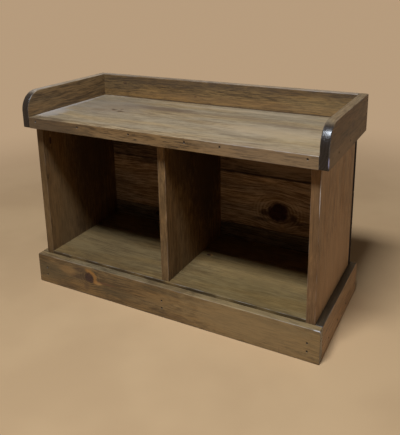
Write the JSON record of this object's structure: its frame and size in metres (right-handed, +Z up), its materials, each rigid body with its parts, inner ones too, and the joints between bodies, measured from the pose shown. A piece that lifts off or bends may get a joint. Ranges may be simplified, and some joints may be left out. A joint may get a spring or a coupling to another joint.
{
  "type": "cubby bench",
  "caption": "Low stained-pine bench with a gallery round three sides of its seat, open cubbies below and a plinth.",
  "frame": {"origin": "on the ground, under the middle of the bench's overall width and depth", "axes": "+X along the seat to the right as seen from the front, +Y to the back, +Z up"},
  "size_m": [0.78, 0.328, 0.522],
  "materials": {
    "seat_pine": "brown stain worn pale and greyish, waxed",
    "edging_pine": "brown stain, waxed",
    "gallery_pine": "brown stain, waxed, dark end grain",
    "cabinet_pine": "brown stain, waxed",
    "floor_pine": "olive-brown stain, worn",
    "back_pine": "reddish-brown stain, knotty",
    "plinth_pine": "brown stain, waxed, knotty",
    "bare_pine": "bare sawn pine",
    "nail_steel": "dull dark steel",
    "screw_steel": "plain steel"
  },
  "bodies": {
    "root": {"seat_board": "seat_pine", "seat_edging": "edging_pine", "gallery_left": "gallery_pine", "gallery_right": "gallery_pine", "gallery_back": "gallery_pine", "left_side": "cabinet_pine", "right_side": "cabinet_pine", "centre_divider": "cabinet_pine", "cubby_floor": "floor_pine", "centre_bearer": "bare_pine", "back_board_top": "back_pine", "back_board_middle": "back_pine", "back_board_bottom": "back_pine", "plinth_front": "plinth_pine", "plinth_left": "plinth_pine", "plinth_right": "plinth_pine", "cleat_left": "bare_pine", "cleat_right": "bare_pine", "cleat_divider": "bare_pine", "edging_nails": "nail_steel", "gallery_side_nails": "nail_steel", "gallery_corner_nails": "nail_steel", "gallery_back_nails": "nail_steel", "back_board_nails": "nail_steel", "plinth_front_nails": "nail_steel", "plinth_side_nails": "nail_steel", "cubby_floor_nails": "nail_steel", "divider_screws": "screw_steel", "cleat_screws": "screw_steel", "seat_screws": "screw_steel"}
  },
  "joints": []
}
